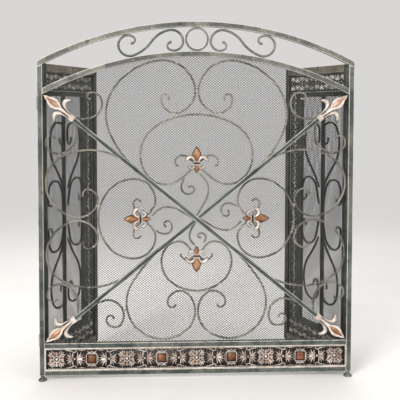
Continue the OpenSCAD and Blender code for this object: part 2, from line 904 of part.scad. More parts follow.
left_post();
right_post();
outer_arch();
inner_arch();
upper_base_rail();
lower_base_rail();
frieze_panel();
frieze_border();
front_mesh();
long_diagonal_bar();
upper_diagonal_bar();
lower_diagonal_bar();
bar_collars();
upper_corner_fleurs();
lower_corner_fleurs();
top_fleur();
bottom_fleur();
side_fleurs();
crest_ring();
crest_scrolls();
top_scrolls();
top_oval();
side_ovals();
bottom_oval();
centre_curls();
centre_ties();
bottom_scrolls();
base_curls();
side_loops();
shoulder_curls();
post_curls();
front_feet();
front_knuckles();
hinge_pins();
weld_beads();
left_near_stile();
left_far_stile();
left_top_rail();
left_bottom_rail();
left_pierced_strips();
left_inner_frame();
left_mesh();
left_centre_bar();
left_teardrops();
left_hooked_loops();
left_foot();
left_knuckles();
right_near_stile();
right_far_stile();
right_top_rail();
right_bottom_rail();
right_pierced_strips();
right_inner_frame();
right_mesh();
right_centre_bar();
right_teardrops();
right_hooked_loops();
right_foot();
right_knuckles();
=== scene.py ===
import math

import bmesh
import bpy
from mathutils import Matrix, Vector


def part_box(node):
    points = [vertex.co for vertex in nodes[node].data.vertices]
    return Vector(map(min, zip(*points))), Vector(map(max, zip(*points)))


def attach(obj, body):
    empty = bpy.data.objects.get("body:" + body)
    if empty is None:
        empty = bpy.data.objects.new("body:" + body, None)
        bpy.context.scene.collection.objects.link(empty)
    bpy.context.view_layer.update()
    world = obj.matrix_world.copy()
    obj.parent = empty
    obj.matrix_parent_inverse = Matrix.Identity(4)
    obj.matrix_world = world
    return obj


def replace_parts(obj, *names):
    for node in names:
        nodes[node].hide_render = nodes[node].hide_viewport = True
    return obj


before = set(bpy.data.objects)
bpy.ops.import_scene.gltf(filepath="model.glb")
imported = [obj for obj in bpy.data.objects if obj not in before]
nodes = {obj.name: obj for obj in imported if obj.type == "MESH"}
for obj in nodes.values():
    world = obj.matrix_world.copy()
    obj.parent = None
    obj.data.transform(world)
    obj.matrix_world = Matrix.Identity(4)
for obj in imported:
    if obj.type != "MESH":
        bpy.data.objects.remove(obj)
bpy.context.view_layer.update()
MM = 0.001
BOTH = (1, -1)
ONE = (1,)

# ---------------------------------------------------------------- layout, in mm

# The same dimensions as the CAD model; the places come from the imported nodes.


def node_box(name):
    low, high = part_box(name)
    return low / MM, high / MM


mesh_low, mesh_high = node_box("front_mesh")
post_low, post_high = node_box("left_post")
frieze_low, frieze_high = node_box("frieze_panel")
TUBE = post_high.x - post_low.x
HALF_W = -post_low.x
HALF_IN = HALF_W - TUBE
CREST = node_box("outer_arch")[1].z
RISE = 100.0  # of the outer arch, from its ends to its crown
ARCH_GAP = 74.5  # how far the inner arch lies below the outer one
ARCH_R = (HALF_W**2 + RISE**2) / (2 * RISE)
OUTER_Z = CREST - ARCH_R
INNER_Z = OUTER_Z - ARCH_GAP
# The field holds the mesh and scrolls: between the base rails and the ends of the inner arch.
FIELD_Z = node_box("upper_base_rail")[1].z
SPRING_Z = INNER_Z + math.sqrt((ARCH_R - TUBE) ** 2 - HALF_IN**2)
CROSS_Z = (FIELD_Z + SPRING_Z) / 2
HALF_H = (SPRING_Z - FIELD_Z) / 2
PANEL_Y = (post_low.y + post_high.y) / 2
MESH_Y = mesh_low.y
SCROLL_W = 5.0
SCROLL_D = 5.0
SCROLL_Y = MESH_Y - SCROLL_D
BAR_D = SCROLL_Y - post_low.y
BAR_ANGLE = math.atan2(HALF_H, HALF_IN)
BAR_REACH = 0.811  # part of the half diagonal at which a diagonal bar ends
DIAGONAL = math.hypot(HALF_IN, HALF_H)

# ---------------------------------------------------------------- materials

# Noises of the paint: scale for each metre, detail and roughness.
CLOUDS = (14, 5, 0.65)
STREAKS = (55, 6, 0.7)
SPOTS = (170, 4, 0.65)
PITS = (420, 3, 0.6)
PIT_STRENGTH = 0.35
PIT_DEPTH = 0.0004
STREAK_SHADE = 0.45  # a dark streak over the ground colour


class Net:
    """A short way to write node networks."""

    def __init__(self, name):
        self.mat = bpy.data.materials.new(name)
        self.mat.use_nodes = True
        self.tree = self.mat.node_tree
        self.bsdf = self.tree.nodes["Principled BSDF"]
        self.coord = self.tree.nodes.new("ShaderNodeTexCoord").outputs["Object"]

    def link(self, a, b):
        self.tree.links.new(a, b)

    def noise(self, kind, grain=1.0):
        scale, detail, rough = kind
        node = self.tree.nodes.new("ShaderNodeTexNoise")
        node.inputs["Scale"].default_value = scale * grain
        node.inputs["Detail"].default_value = detail
        node.inputs["Roughness"].default_value = rough
        self.link(self.coord, node.inputs["Vector"])
        return node.outputs["Fac"]

    def ramp(self, fac, *stops):
        """Each stop is a position and a colour or a grey value."""
        node = self.tree.nodes.new("ShaderNodeValToRGB")
        for element, (at, colour) in zip(node.color_ramp.elements, stops):
            element.position = at
            if not isinstance(colour, tuple):
                colour = (colour, colour, colour)
            element.color = (*colour, 1)
        self.link(fac, node.inputs["Fac"])
        return node.outputs["Color"]

    def mix(self, fac, a, b):
        node = self.tree.nodes.new("ShaderNodeMix")
        node.data_type = "RGBA"
        for i, value in ((0, fac), (6, a), (7, b)):
            if isinstance(value, tuple):
                node.inputs[i].default_value = (*value, 1)
            else:
                self.link(value, node.inputs[i])
        return node.outputs[2]

    def bump(self, height, strength, distance):
        node = self.tree.nodes.new("ShaderNodeBump")
        node.inputs["Strength"].default_value = strength
        node.inputs["Distance"].default_value = distance
        self.link(height, node.inputs["Height"])
        self.link(node.outputs["Normal"], self.bsdf.inputs["Normal"])

    def finish(self, colour, rough, metallic):
        self.link(colour, self.bsdf.inputs["Base Color"])
        self.link(rough, self.bsdf.inputs["Roughness"])
        self.bsdf.inputs["Metallic"].default_value = metallic
        return self.mat


def patina(
    name, ground, tint, rub, metallic=0.35, rub_at=0.62, tint_at=0.5, grain=1.0, rough=(0.38, 0.7)
):
    """Aged paint: a ground colour, clouds of a second tint, small rubbed spots and pitting."""
    net = Net(name)
    clouds = net.noise(CLOUDS, grain)
    streaks = net.noise(STREAKS, grain)
    spots = net.noise(SPOTS, grain)
    tinted = net.ramp(clouds, (tint_at - 0.1, 0.0), (tint_at + 0.12, 1.0))
    colour = net.mix(tinted, ground, tint)
    dark = tuple(c * STREAK_SHADE for c in ground)
    colour = net.mix(net.ramp(streaks, (0.30, 1.0), (0.46, 0.0)), colour, dark)
    colour = net.mix(net.ramp(spots, (rub_at, 0.0), (rub_at + 0.10, 1.0)), colour, rub)
    smooth, dull = rough
    shine = net.ramp(streaks, (0.3, dull), (0.7, smooth))
    net.bump(net.noise(PITS, grain), PIT_STRENGTH, PIT_DEPTH)
    return net.finish(colour, shine, metallic)


# Each is a ground colour, a tint and the colour under the rubbed spots.
STEEL = patina("frame_patina", (0.045, 0.060, 0.056), (0.140, 0.155, 0.142), (0.46, 0.34, 0.26))
# Each edge paint below is paler than its body: partly worn paint, partly a painted highlight along
# the bevelled edges.
STEEL_WEAR_AND_HIGHLIGHT = patina(
    "frame_edge_wear_and_highlight", (0.54, 0.49, 0.43), (0.70, 0.64, 0.57), (0.16, 0.12, 0.10), rub_at=0.58
)
ARCH = patina(
    "arch_patina", (0.090, 0.096, 0.088), (0.215, 0.210, 0.186), (0.52, 0.46, 0.38), rub_at=0.61
)
ARCH_WEAR_AND_HIGHLIGHT = patina(
    "arch_edge_wear_and_highlight", (0.52, 0.49, 0.43), (0.68, 0.64, 0.57), (0.14, 0.13, 0.11), rub_at=0.58
)
CROSS_BAR = patina(
    "bar_patina", (0.030, 0.046, 0.044), (0.085, 0.105, 0.098), (0.42, 0.39, 0.34), rub_at=0.68
)
BAR_WEAR_AND_HIGHLIGHT = patina(
    "bar_edge_wear_and_highlight", (0.48, 0.46, 0.41), (0.62, 0.60, 0.54), (0.14, 0.15, 0.14), rub_at=0.56
)
SCROLL = patina(
    "scroll_patina", (0.085, 0.086, 0.076), (0.240, 0.225, 0.195), (0.58, 0.52, 0.44), rub_at=0.58
)
WING = patina(
    "wing_patina", (0.036, 0.044, 0.038), (0.095, 0.098, 0.082), (0.34, 0.30, 0.25), rub_at=0.64
)
WING_WEAR_AND_HIGHLIGHT = patina(
    "wing_edge_wear_and_highlight", (0.150, 0.145, 0.122), (0.30, 0.28, 0.24), (0.04, 0.04, 0.035), rub_at=0.55
)
RAIL = patina(
    "rail_bronze", (0.135, 0.120, 0.095), (0.25, 0.22, 0.175), (0.50, 0.45, 0.37), rub_at=0.60
)
RAIL_WEAR_AND_HIGHLIGHT = patina(
    "rail_edge_wear_and_highlight", (0.30, 0.27, 0.22), (0.44, 0.40, 0.33), (0.10, 0.09, 0.07), rub_at=0.60
)
MESH = patina(
    "mesh_wire", (0.010, 0.010, 0.010), (0.020, 0.020, 0.020), (0.06, 0.055, 0.05),
    metallic=0.0, rub_at=0.68,
)
# A near-black: the dark ground of the frieze, and also painted shade on the steep sides of its
# leaves and painted shadow under the fleurs' leaves.
RELIEF_GROUND_AND_SHADE = patina(
    "relief_ground_and_shade", (0.012, 0.009, 0.008), (0.030, 0.020, 0.016), (0.10, 0.06, 0.045), rub_at=0.66
)
RELIEF = patina(
    "relief_silver", (0.52, 0.46, 0.41), (0.84, 0.79, 0.73), (0.07, 0.05, 0.04),
    metallic=0.5, rub_at=0.60, grain=2.2,
)
RELIEF_ROSE = patina(
    "relief_rose", (0.34, 0.23, 0.18), (0.66, 0.50, 0.42), (0.06, 0.035, 0.03),
    metallic=0.55, rub_at=0.56, grain=2.2,
)
GEM = patina(
    "relief_gem", (0.115, 0.040, 0.022), (0.36, 0.16, 0.085), (0.60, 0.42, 0.32),
    metallic=0.6, rub_at=0.64, grain=2.4,
)
COPPER = patina(
    "copper_leaf", (0.25, 0.110, 0.055), (0.56, 0.330, 0.190), (0.07, 0.030, 0.018),
    metallic=0.75, rub_at=0.58, tint_at=0.48, grain=2.6, rough=(0.28, 0.5),
)
CREAM = patina(
    "cream_leaf", (0.60, 0.50, 0.43), (0.86, 0.79, 0.72), (0.15, 0.08, 0.05),
    metallic=0.5, rub_at=0.61, grain=2.4, rough=(0.28, 0.5),
)
ROSE = patina(
    "rose_copper_leaf", (0.36, 0.20, 0.145), (0.58, 0.40, 0.32), (0.12, 0.06, 0.04),
    metallic=0.65, rub_at=0.58, grain=2.0,
)
WING_SCROLL = patina(
    "wing_scroll_patina", (0.026, 0.026, 0.023), (0.060, 0.055, 0.046), (0.20, 0.18, 0.15),
    rub_at=0.70,
)
# Pale partly as rubbed metal and partly as painted light, made brighter to lift the relief out of
# the shade on the wings.
STRIP_RUBBED_AND_PAINTED_LIGHT = patina(
    "strip_relief_rubbed_and_painted_light", (0.42, 0.40, 0.35), (0.86, 0.82, 0.75), (0.06, 0.06, 0.05),
    metallic=0.25, rub_at=0.62, grain=1.8,
)
WELD = patina(
    "weld_bead", (0.34, 0.32, 0.28), (0.48, 0.45, 0.40), (0.12, 0.11, 0.10), metallic=0.5
)
PIN = patina(
    "pin_steel", (0.36, 0.36, 0.35), (0.46, 0.45, 0.43), (0.16, 0.12, 0.09),
    metallic=0.9, rub_at=0.70,
)

# ---------------------------------------------------------------- CAD nodes that stay

WELD_DISTANCE = 0.00001
BEVEL_FROM = math.radians(40)

# Groups of nodes with their paint, the paint of their edges (worn thin, and paler as a painted
# highlight) and the edges' width.
FRONT_FINISHES = (
    (("left_post", "right_post", "upper_base_rail", "lower_base_rail"), STEEL, STEEL_WEAR_AND_HIGHLIGHT, 1.5),
    (("outer_arch", "inner_arch"), ARCH, ARCH_WEAR_AND_HIGHLIGHT, 1.6),
    (("crest_ring",), ARCH, ARCH_WEAR_AND_HIGHLIGHT, 0.9),
    (
        ("long_diagonal_bar", "upper_diagonal_bar", "lower_diagonal_bar"),
        CROSS_BAR, BAR_WEAR_AND_HIGHLIGHT, 1.3,
    ),
    (("bar_collars",), CREAM, CREAM, 1.0),
    (("front_feet",), ARCH, ARCH_WEAR_AND_HIGHLIGHT, 0.8),
    (("front_knuckles",), STEEL, STEEL_WEAR_AND_HIGHLIGHT, 0.4),
    (("hinge_pins",), PIN, PIN, 0.3),
    (("weld_beads",), WELD, WELD, 0.6),
    (("frieze_border",), RELIEF, RELIEF, 0.5),
)
WING_FINISHES = (
    (("near_stile", "far_stile", "inner_frame", "centre_bar"), WING, WING_WEAR_AND_HIGHLIGHT, 1.0),
    (("top_rail", "bottom_rail"), RAIL, RAIL_WEAR_AND_HIGHLIGHT, 1.2),
    (("foot",), WING, WING_WEAR_AND_HIGHLIGHT, 0.6),
    (("knuckles",), WING, WING_WEAR_AND_HIGHLIGHT, 0.4),
)


def refinish(name, body, edge, width):
    """Paints a CAD node. Its bevelled edges get the second material: the paint worn thin, made paler
    as a painted highlight.
    """
    node = nodes[name]
    node.data.materials.clear()
    node.data.materials.append(body)
    node.data.materials.append(edge)
    weld = node.modifiers.new("weld", "WELD")
    weld.merge_threshold = WELD_DISTANCE
    bevel = node.modifiers.new("bevel", "BEVEL")
    bevel.width = width * MM
    bevel.segments = 2
    bevel.limit_method = "ANGLE"
    bevel.angle_limit = BEVEL_FROM
    bevel.material = 1


for prefixes, finishes in (("",), FRONT_FINISHES), (("left_", "right_"), WING_FINISHES):
    for names, body, edge, width in finishes:
        for prefix in prefixes:
            for name in names:
                refinish(prefix + name, body, edge, width)

# ---------------------------------------------------------------- swept bars and leaves

# A cross-section is a list of (across, deep): across runs from -1 to 1, deep from the
# base towards the viewer. Round bars are centred on their base, leaves stand on it.


def round_bar(count, power):
    """A circle pressed towards a square."""
    ring = []
    for k in range(count):
        t = 2 * math.pi * (k + 0.5) / count
        c, s = math.cos(t), math.sin(t)
        across = math.copysign(abs(c) ** (2 / power), c)
        ring.append((across, math.copysign(abs(s) ** (2 / power), s)))
    return ring


BAR = round_bar(12, 2.8)
LEAF = [
    (-1, 0), (1, 0), (0.98, 0.30), (0.55, 0.66), (0.12, 1), (-0.12, 1), (-0.55, 0.66), (-0.98, 0.30)
]
RIB = [(-1, 0), (1, 0), (0.87, 0.5), (0.5, 0.87), (0, 1), (-0.5, 0.87), (-0.87, 0.5)]
DISH = [
    (-1, 0), (1, 0), (1, 0.75), (0.86, 1), (0.66, 0.72), (0, 0.55), (-0.66, 0.72), (-0.86, 1),
    (-1, 0.75),
]
THIN = 0.35  # depth of a leaf where it has no width, over its full depth
FILL = 0.6  # the depth grows by its full value over this part of the greatest width


def polar(radius, angle):
    return radius * math.cos(angle), radius * math.sin(angle)


def ease(t):
    return t * t * (3 - 2 * t)


def lengths(path):
    total = [0.0]
    for a, b in zip(path, path[1:]):
        total.append(total[-1] + math.dist(a, b))
    return total


def resample(path, step):
    """The path with even spacing, near to the step."""
    at = lengths(path)
    count = max(2, round(at[-1] / step))
    out = []
    i = 0
    for k in range(count + 1):
        want = at[-1] * k / count
        while i < len(path) - 2 and at[i + 1] < want:
            i += 1
        f = (want - at[i]) / max(at[i + 1] - at[i], 1e-9)
        out.append(tuple(p + (q - p) * f for p, q in zip(path[i], path[i + 1])))
    return out


def curve(points, per=7):
    """A smooth line through the points, with so many steps between each two."""
    ends = [points[0], *points, points[-1]]
    out = []
    for four in zip(ends, ends[1:], ends[2:], ends[3:]):
        for k in range(per):
            t = k / per
            out.append(tuple(
                0.5 * (
                    2 * b + (c - a) * t + (2 * a - 5 * b + 4 * c - d) * t * t
                    + (3 * b - a - 3 * c + d) * t**3
                )
                for a, b, c, d in zip(*four)
            ))
    return [*out, tuple(points[-1])]


def along(path, stops):
    """One value for each point of the path, eased between stops (part of the length, value)."""
    at = lengths(path)
    out = []
    for s in at:
        f = s / at[-1]
        for (f0, v0), (f1, v1) in zip(stops, stops[1:]):
            if f <= f1 + 1e-9:
                out.append(v0 + (v1 - v0) * ease((f - f0) / (f1 - f0)))
                break
    return out


def sweep(bm, path, widths, depths, place, section, base=0.0, material=0, skirt=None):
    """The section along a path (u, v); place turns (u, v, depth) into a point of the frame.

    The skirt, where given, is the material of the steep outer sides: a dark one, painted as their
    shade."""
    rings = []
    last = len(path) - 1
    for i, (u, v) in enumerate(path):
        a, b = path[max(i - 1, 0)], path[min(i + 1, last)]
        length = math.dist(a, b)
        nu, nv = -(b[1] - a[1]) / length, (b[0] - a[0]) / length
        w, d = widths[i], depths[i]
        rings.append([
            bm.verts.new(place(u + nu * w * p, v + nv * w * p, base + d * q)) for p, q in section
        ])
    steep = () if skirt is None else (1, 2, len(section) - 2, len(section) - 1)
    for ring in (rings[0][::-1], rings[-1]):
        bm.faces.new(ring).material_index = material
    for one, two in zip(rings, rings[1:]):
        for k in range(len(section)):
            m = (k + 1) % len(section)
            face = bm.faces.new((one[k], one[m], two[m], two[k]))
            face.material_index = skirt if k in steep else material


def leaf(
    bm, points, widths, depth, place, section=LEAF, base=0.0, material=0, step=1.5, skirt=None
):
    """A leaf along a smooth line, thinner where it is narrow."""
    path = resample(curve(points), step)
    half_widths = along(path, widths)
    full = FILL * max(w for _, w in widths)
    depths = [depth * min(1, THIN + w / full) for w in half_widths]
    sweep(bm, path, half_widths, depths, place, section, base, material, skirt)


def bead(bm, u, v, radius, height, place, material=0, sides=10, levels=3):
    """A dome on the base."""
    rings = []
    for level in range(levels):
        t = math.pi / 2 * level / levels
        ring = []
        for k in range(sides):
            du, dv = polar(radius * math.cos(t), 2 * math.pi * k / sides)
            ring.append(bm.verts.new(place(u + du, v + dv, height * math.sin(t))))
        rings.append(ring)
    top = bm.verts.new(place(u, v, height))
    faces = [bm.faces.new(rings[0][::-1])]
    for one, two in zip(rings, rings[1:]):
        for k in range(sides):
            m = (k + 1) % sides
            faces.append(bm.faces.new((one[k], one[m], two[m], two[k])))
    for k in range(sides):
        faces.append(bm.faces.new((rings[-1][k], rings[-1][(k + 1) % sides], top)))
    for face in faces:
        face.material_index = material


def new_piece(name, bm, body, slot, *materials, smooth=True):
    bmesh.ops.recalc_face_normals(bm, faces=bm.faces)
    mesh = bpy.data.meshes.new(name)
    bm.to_mesh(mesh)
    bm.free()
    for material in materials:
        mesh.materials.append(material)
    obj = bpy.data.objects.new(name, mesh)
    bpy.context.scene.collection.objects.link(obj)
    if smooth:
        for face in mesh.polygons:
            face.use_smooth = True
    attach(obj, body)
    return obj


# ---------------------------------------------------------------- scrolls

# Each scroll is a list of stops (x, z, heading in degrees) with two arcs from each to the
# next. They are drawn on a field of this half size and stretched to the one of the frame.
DRAWN_X = 387.0
DRAWN_Z = 317.0
STRETCH_X = HALF_IN / DRAWN_X
STRETCH_Z = HALF_H / DRAWN_Z

ARC_STEPS = 20
BAR_STEP = 2.0  # between the rings of a swept scroll
KNOB = 1.22  # radius of the knob at a scroll's end, over the bar's
NECK = 0.8  # radius of the neck behind it, over the bar's
NECK_AT = 3  # from the end to the neck, in knob radii
BAR_AT = 12  # from the end to where the bar has its own radius again
TIP = 0.02  # keeps the knob's first ring from closing to a point


def stretched(heading, across, up):
    h = math.radians(heading)
    return math.degrees(math.atan2(up * math.sin(h), across * math.cos(h)))


def meeting(p, q):
    """Where the two arcs between stops p and q meet, with equal tangents on both sides."""
    v = (q[0] - p[0], q[1] - p[1])
    t0 = polar(1, math.radians(p[2]))
    t1 = polar(1, math.radians(q[2]))
    t = (t0[0] + t1[0], t0[1] + t1[1])
    vt = v[0] * t[0] + v[1] * t[1]
    vv = v[0] ** 2 + v[1] ** 2
    k = 2 * (1 - t0[0] * t1[0] - t0[1] * t1[1])
    d = vv / (2 * vt) if k < 0.001 else (math.sqrt(vt * vt + k * vv) - vt) / k
    return (p[0] + q[0] + d * (t0[0] - t1[0])) / 2, (p[1] + q[1] + d * (t0[1] - t1[1])) / 2


def arc(p, heading, q):
    """Points of the arc that leaves p with the heading and ends at q."""
    parts = [k / ARC_STEPS for k in range(ARC_STEPS + 1)]
    h = math.radians(heading)
    chord = math.atan2(q[1] - p[1], q[0] - p[0])
    turn = 2 * math.remainder(chord - h, 2 * math.pi)
    if abs(turn) < 0.02:
        return [(p[0] + (q[0] - p[0]) * f, p[1] + (q[1] - p[1]) * f) for f in parts]
    r = math.dist(p, q) / (2 * math.sin(turn / 2))
    cx, cz = p[0] - r * math.sin(h), p[1] + r * math.cos(h)
    return [(cx + r * math.sin(h + turn * f), cz - r * math.cos(h + turn * f)) for f in parts]


def bent(stops):
    path = []
    for p, q in zip(stops, stops[1:]):
        m = meeting(p, q)
        there = arc(p[:2], p[2], m)
        back = arc(q[:2], q[2] + 180, m)[::-1]
        path += (there if not path else there[1:]) + back[1:]
    return path


def on_field(stops):
    """The stops, stretched to the field and measured from the crossing of the bars."""
    return [(x * STRETCH_X, z * STRETCH_Z, stretched(h, STRETCH_X, STRETCH_Z)) for x, z, h in stops]


def quarter(stops, turns):
    """The stops turned about the crossing by quarter turns."""
    c, n = round(math.cos(math.pi / 2 * turns)), round(math.sin(math.pi / 2 * turns))
    return [(c * x - n * z, n * x + c * z, h + 90 * turns) for x, z, h in stops]


def there_and_back(half):
    """A symmetric scroll from its right half, which starts on the middle line."""
    return [(-x, z, -h) for x, z, h in half[:0:-1]] + half


def bar_radii(path, radius, knobs):
    """The radius along a bar: a knob at each chosen end with a slim neck behind it."""
    at = lengths(path)
    knob = KNOB * radius
    out = []
    for s in at:
        r = radius
        for used, far in zip(knobs, (s, at[-1] - s)):
            if not used:
                continue
            if far < knob:
                r = knob * math.sqrt(max(1 - ((knob - far) / knob) ** 2, TIP))
            elif far < NECK_AT * knob:
                r = knob + (NECK * radius - knob) * ease((far / knob - 1) / (NECK_AT - 1))
            elif far < BAR_AT * knob:
                r = radius * (NECK + (1 - NECK) * (far / knob - NECK_AT) / (BAR_AT - NECK_AT))
        out.append(r)
    return out


def round_scroll(bm, stops, width, depth, place, knobs=(True, True)):
    path = resample(bent(stops), BAR_STEP)
    radii = bar_radii(path, width / 2, knobs)
    # A knob swells sideways only, so that it stays within the depth of the bar.
    depths = [min(r * depth / width, depth / 2) for r in radii]
    sweep(bm, path, radii, depths, place, BAR, base=depth / 2)


def field_place(sign, flip):
    """Scrolls lie on the mesh: u and v from the crossing, depth towards the viewer."""
    return lambda u, v, d: Vector((sign * u, MESH_Y - d, CROSS_Z + flip * v)) * MM


# The top scroll is stretched upwards from here, until its crown is just below the arch.
TOP_START = 114.0
TOP_REACH = 399.0
CROWN_X = 94 * STRETCH_X
ARCH_CLEAR = 4.5
TOP_END = (
    INNER_Z + math.sqrt((ARCH_R - TUBE) ** 2 - CROWN_X**2) - CROSS_Z - SCROLL_W / 2 - ARCH_CLEAR
)


def below_arch(stops):
    start = TOP_START * STRETCH_Z
    rise = (TOP_END - start) / (TOP_REACH - TOP_START)
    drawn = zip(stops, on_field(stops))
    return [(x, start + (stop[1] - TOP_START) * rise, h) for stop, (x, _, h) in drawn]


# Those round the crossing are repeated in each quarter, and smaller in the one below it.
QUARTER_SIZES = (1, 1, 0.6, 1)


def all_quarters(stops):
    return [
        on_field(quarter([(x * size, z * size, h) for x, z, h in stops], i))
        for i, size in enumerate(QUARTER_SIZES)
    ]


top_scroll = [(-73, 303, 35), (-90, 306, 268), (-6.5, 343, 107), (-208, 334, 235), (-140, 114, -39)]
top_oval = [
    (0, 266, 180), (-143, 163, 270), (-79, 88, 0), (-25, 116, 42), (19, 155, 40), (54, 150, -75),
    (45, 137, -215),
]
side_oval = [
    (0, 250, 180), (-102, 160, 270), (-46, 105, 0), (-14, 122, 42), (26, 157, 38), (50, 152, -85),
    (42, 142, -175),
]
bottom_oval = [
    (0, -187, 180), (-90, -110, 90), (-44, -59, 0), (-18, -76, -48), (12, -103, -40),
    (36, -102, 50), (41, -90, 85),
]
centre_curl = [
    (-31, 103, -128), (-39, 81, -90), (-22, 63, 0), (-6, 75, 90), (-14, 83, 180), (-21, 77, 262)
]
centre_tie = [(8, 113, -35), (30, 76, -90), (1, 9, -120)]
bottom_scroll = [
    (-54, -221, -82), (-74, -212, 77), (-30, -293, -143), (-175, -246, 107), (-107, -92, 46)
]
base_curl = [(-261, -217, 6), (-218, -210, -13), (-230, -266, 112), (-214, -259, -123)]
side_loop = [(-200, 158, 152), (-376, 61, -68), (-254, 34, 64), (-288, 57, -67)]
shoulder_curl = [(-306, 257, -12), (-247, 271, 51), (-275, 318, 213), (-265, 308, 50)]
post_curl = [(-312, 249, 31), (-302, 225, -87), (-379, 185, 118), (-355, 203, -74)]

# For each node: its scrolls, the sides they are mirrored to, whether they are mirrored up
# and down as well, and which of their ends are knobs.
FIELD_SCROLLS = {
    "top_scrolls": ([below_arch(top_scroll)], BOTH, ONE, (True, False)),
    "top_oval": ([on_field(there_and_back(top_oval))], ONE, ONE, (True, True)),
    "side_ovals": ([on_field(quarter(there_and_back(side_oval), 1))], BOTH, ONE, (True, True)),
    "bottom_oval": ([on_field(there_and_back(bottom_oval))], ONE, ONE, (True, True)),
    "centre_curls": (all_quarters(centre_curl), ONE, ONE, (False, True)),
    "centre_ties": (all_quarters(centre_tie), ONE, ONE, (False, False)),
    "bottom_scrolls": ([on_field(bottom_scroll)], BOTH, ONE, (True, False)),
    "base_curls": ([on_field(base_curl)], BOTH, ONE, (False, True)),
    "side_loops": ([on_field(side_loop)], BOTH, BOTH, (False, True)),
    "shoulder_curls": ([on_field(shoulder_curl)], BOTH, ONE, (False, True)),
    "post_curls": ([on_field(post_curl)], BOTH, BOTH, (False, True)),
}
for name, (scrolls, sides, flips, knobs) in FIELD_SCROLLS.items():
    bm = bmesh.new()
    for stops in scrolls:
        for sign in sides:
            for flip in flips:
                round_scroll(bm, stops, SCROLL_W, SCROLL_D, field_place(sign, flip), knobs)
    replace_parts(new_piece(f"{name}_bar", bm, "front_panel", "scroll_paint", SCROLL), name)

CREST_W = 6.0
DRAWN_WINDOW = 61.5  # the clear height between the arches, as drawn

# Stops (x, part of the way up from the inner arch to the outer one, heading in degrees).
crest_scroll = [
    (-167, 0.6, -21), (-196, 0.495, -71.5), (-114, 0.52, 54.5), (-36, 0.55, -71), (-63, 0.41, -10)
]


def between_arches(stop):
    drawn_x, part, heading = stop
    x = drawn_x * STRETCH_X
    low = INNER_Z + math.sqrt(ARCH_R**2 - x * x)
    high = OUTER_Z + math.sqrt((ARCH_R - TUBE) ** 2 - x * x)
    up = (ARCH_GAP - TUBE) / DRAWN_WINDOW
    return x, low * (1 - part) + high * part, stretched(heading, STRETCH_X, up)


def crest_place(sign):
    return lambda u, v, d: Vector((sign * u, PANEL_Y + TUBE / 4 - d, v)) * MM


bm = bmesh.new()
crest_stops = [between_arches(stop) for stop in crest_scroll]
for sign in BOTH:
    round_scroll(bm, crest_stops, CREST_W, TUBE / 2, crest_place(sign))
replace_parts(new_piece("crest_scroll_bars", bm, "front_panel", "arch_paint", ARCH), "crest_scrolls")

# ---------------------------------------------------------------- fleurs

# A fleur is cast in two metals, and each leaf lies on a wider, dark underlay: a painted shadow round
# its edge.
HEART, PETAL, PAINTED_SHADE = 0, 1, 2
FLEUR_D = BAR_D - 0.3
FLEUR_BASE = 0.2
SHADOW_LIP = 0.9
SHADOW_D = 0.45  # over the depth of its leaf
CORNER_FLEUR_AT = BAR_REACH * DIAGONAL + 6
CORNER_FLEUR_L = (1 - BAR_REACH) * DIAGONAL - 8.5


def fleur_place(angle, x, z, sign):
    """From (along the axis, across, depth) about the point x, z to the frame."""
    c, s = math.cos(angle), math.sin(angle)
    return lambda u, v, d: (
        Vector((sign * (x + c * u - s * v), SCROLL_Y - d, z + s * u + c * v)) * MM
    )


def lined_leaf(bm, points, widths, depth, place, material, section=LEAF):
    """A cast leaf on a wider, dark underlay, painted as its shadow."""
    wider = [(f, w + SHADOW_LIP) for f, w in widths]
    leaf(bm, points, wider, depth * SHADOW_D, place, RIB, FLEUR_BASE, PAINTED_SHADE)
    leaf(bm, points, widths, depth, place, section, FLEUR_BASE, material)


def centre_fleur(bm, place):
    """A spear and a bud on one axis, two large and two small petals, and a banded waist."""
    spear = [(4, 0), (13, 0), (22, 0), (32, 0), (42.5, 0)]
    widths = [
        (0, 3.4), (0.18, 4.4), (0.40, 10.2), (0.50, 10.8), (0.72, 7.6), (0.88, 3.4), (1, 0.5)
    ]
    lined_leaf(bm, spear, widths, FLEUR_D, place, HEART)
    bud = [(-4, 0), (-12, 0), (-19, 0), (-26, 0)]
    lined_leaf(bm, bud, [(0, 3.0), (0.4, 6.0), (0.7, 4.2), (1, 0.5)], FLEUR_D - 0.8, place, HEART)
    for s in (-1, 1):
        big = [(3, 4.5 * s), (10, 7 * s), (15, 12.5 * s), (15, 19 * s), (10, 25 * s), (3, 28.5 * s)]
        widths = [(0, 2.0), (0.4, 3.7), (0.75, 4.3), (1, 0.7)]
        lined_leaf(bm, big, widths, FLEUR_D - 0.9, place, PETAL)
        small = [
            (-3, 4.5 * s), (-9, 6.5 * s), (-13, 11 * s), (-11.5, 16 * s), (-6, 19 * s), (-1, 18 * s)
        ]
        widths = [(0, 1.7), (0.5, 2.8), (0.8, 3.0), (1, 0.7)]
        lined_leaf(bm, small, widths, FLEUR_D - 1.4, place, PETAL)
    for u in (-3.9, 3.9):
        band = [(u, -8.4), (u, 0), (u, 8.4)]
        widths = [(0, 1.0), (0.1, 1.8), (0.9, 1.8), (1, 1.0)]
        leaf(bm, band, widths, FLEUR_D + 0.2, place, RIB, 0.0, PETAL)
    waist = [(0, -7.4), (0, 0), (0, 7.4)]
    # The waist sinks between the two bands and takes the same dark, as painted shade.
    leaf(bm, waist, [(0, 2.4), (1, 2.4)], FLEUR_D - 2.2, place, RIB, 0.0, PAINTED_SHADE)


